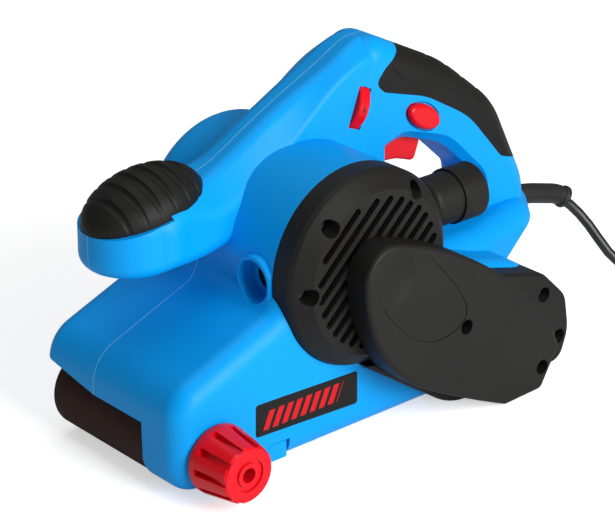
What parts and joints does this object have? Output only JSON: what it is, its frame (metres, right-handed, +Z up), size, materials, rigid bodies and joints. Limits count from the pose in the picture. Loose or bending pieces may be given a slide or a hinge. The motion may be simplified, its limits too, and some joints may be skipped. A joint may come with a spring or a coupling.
{
  "type": "belt sander",
  "caption": "Hand-held belt sander with a front knob handle, a D-handle with trigger, a transverse motor, a side belt drive, a tracking knob and a dust outlet.",
  "frame": {"origin": "middle of the sole on the abrasive's outer face, midway between the two roller axes and across the belt", "axes": "+X from the front roller to the cord, +Y to the operator's right, +Z up from the sole"},
  "size_m": [0.4988, 0.2165, 0.1932],
  "materials": {
    "blue_plastic": "satin moulded",
    "black_plastic": "fine grained",
    "soft_grip": "matt moulded",
    "abrasive_cloth": "grit on cloth",
    "red_plastic": "moulded",
    "steel": "ground",
    "laminated_steel": "laminated",
    "aluminium": "cast",
    "graphite_pad": "graphite coated",
    "rubber": "matt",
    "copper": "varnished",
    "brass": "drawn",
    "carbon": "pressed",
    "circuit_board": "lacquered",
    "cord_jacket": "satin"
  },
  "bodies": {
    "housing": {"left_housing": "blue_plastic", "right_housing": "blue_plastic", "front_grip_pad": "soft_grip", "rear_grip": "soft_grip", "motor_vent_cap": "black_plastic", "gear_housing": "black_plastic", "drive_belt_cover": "black_plastic", "dust_tube": "black_plastic", "dust_collar": "black_plastic", "housing_screws": "steel", "cover_screws": "steel", "sanding_belt": "abrasive_cloth", "yoke_guides": "steel", "tension_spring": "steel", "lever_pin": "steel", "chassis": "aluminium", "sole_plate": "steel", "sole_pad": "graphite_pad", "drive_roller_bearings": "steel", "layshaft_bearings": "steel", "drive_belt": "rubber", "motor_bearings": "steel", "stator_core": "laminated_steel", "field_coils": "copper", "brush_holders": "brass", "carbon_brushes": "carbon", "brush_caps": "black_plastic", "trigger_pin": "steel", "trigger_spring": "steel", "switch_body": "black_plastic", "speed_module": "circuit_board", "cord_sleeve": "rubber", "cord_clamp": "black_plastic", "cord_lead": "cord_jacket", "cord_coil": "cord_jacket", "cord_tie": "black_plastic", "cord_tail": "cord_jacket", "plug": "black_plastic", "plug_pins": "brass"},
    "drive_roller": {"drive_roller": "steel", "drive_roller_sleeve": "rubber", "drive_gear": "steel"},
    "layshaft": {"layshaft": "steel", "driven_pulley": "aluminium"},
    "armature": {"armature_shaft": "steel", "armature_core": "laminated_steel", "armature_winding": "copper", "commutator": "copper", "cooling_fan": "black_plastic", "motor_pulley": "aluminium"},
    "front_carriage": {"front_yoke": "aluminium", "roller_axle": "steel"},
    "front_roller": {"front_roller": "aluminium", "front_roller_bearings": "steel"},
    "tension_lever": {"tension_lever": "blue_plastic"},
    "tracking_knob": {"tracking_knob": "red_plastic", "tracking_screw": "steel"},
    "trigger": {"trigger": "red_plastic"},
    "lock_button": {"lock_button": "red_plastic"},
    "speed_dial": {"speed_dial": "red_plastic"}
  },
  "joints": [
    {"name": "drive_roller_spin", "type": "hinge", "parent": "housing", "child": "drive_roller", "pos_m": [0.09885, 0, 0.0225], "axis": [0, 1, 0], "continuous": true},
    {"name": "layshaft_spin", "type": "hinge", "parent": "housing", "child": "layshaft", "pos_m": [0.08059, -0.07, 0.03649], "axis": [0, 1, 0], "continuous": true},
    {"name": "armature_spin", "type": "hinge", "parent": "housing", "child": "armature", "pos_m": [0.001, 0, 0.0975], "axis": [0, 1, 0], "continuous": true},
    {"name": "lever_swing", "type": "hinge", "parent": "housing", "child": "tension_lever", "pos_m": [-0.07585, -0.057, 0.011], "axis": [0, 0, -1], "range_deg": [0, 60]},
    {"name": "carriage_slide", "type": "slide", "parent": "housing", "child": "front_carriage", "axis": [1, 0, 0], "range_m": [0, 0.006], "deforming": ["tension_spring"]},
    {"name": "front_roller_spin", "type": "hinge", "parent": "front_carriage", "child": "front_roller", "pos_m": [-0.09885, 0, 0.0225], "axis": [0, 1, 0], "continuous": true},
    {"name": "knob_turn", "type": "hinge", "parent": "housing", "child": "tracking_knob", "pos_m": [-0.09885, -0.08, 0.0225], "axis": [0, -1, 0], "range_deg": [-360, 360]},
    {"name": "trigger_pull", "type": "hinge", "parent": "housing", "child": "trigger", "pos_m": [0.066, 0, 0.1288], "axis": [0, -1, 0], "range_deg": [0, 7], "stiffness_Nm_per_rad": 0.8, "springref_deg": -5.73, "deforming": ["trigger_spring"]},
    {"name": "lock_press", "type": "slide", "parent": "housing", "child": "lock_button", "axis": [0, 1, 0], "range_m": [0, 0.003], "stiffness_N_per_m": 600, "springref_m": -0.001},
    {"name": "dial_turn", "type": "hinge", "parent": "housing", "child": "speed_dial", "pos_m": [0.0435, -0.0056, 0.1589], "axis": [0.9292, 0, -0.3697], "range_deg": [-270, 0]}
  ],
  "couplings": [
    {"joint": "layshaft_spin", "follows": "drive_roller_spin", "ratio": -2.8333},
    {"joint": "armature_spin", "follows": "drive_roller_spin", "ratio": -6.4762},
    {"joint": "front_roller_spin", "follows": "drive_roller_spin", "ratio": 1},
    {"joint": "lever_swing", "follows": "carriage_slide", "rad_per_m": 174.53}
  ]
}
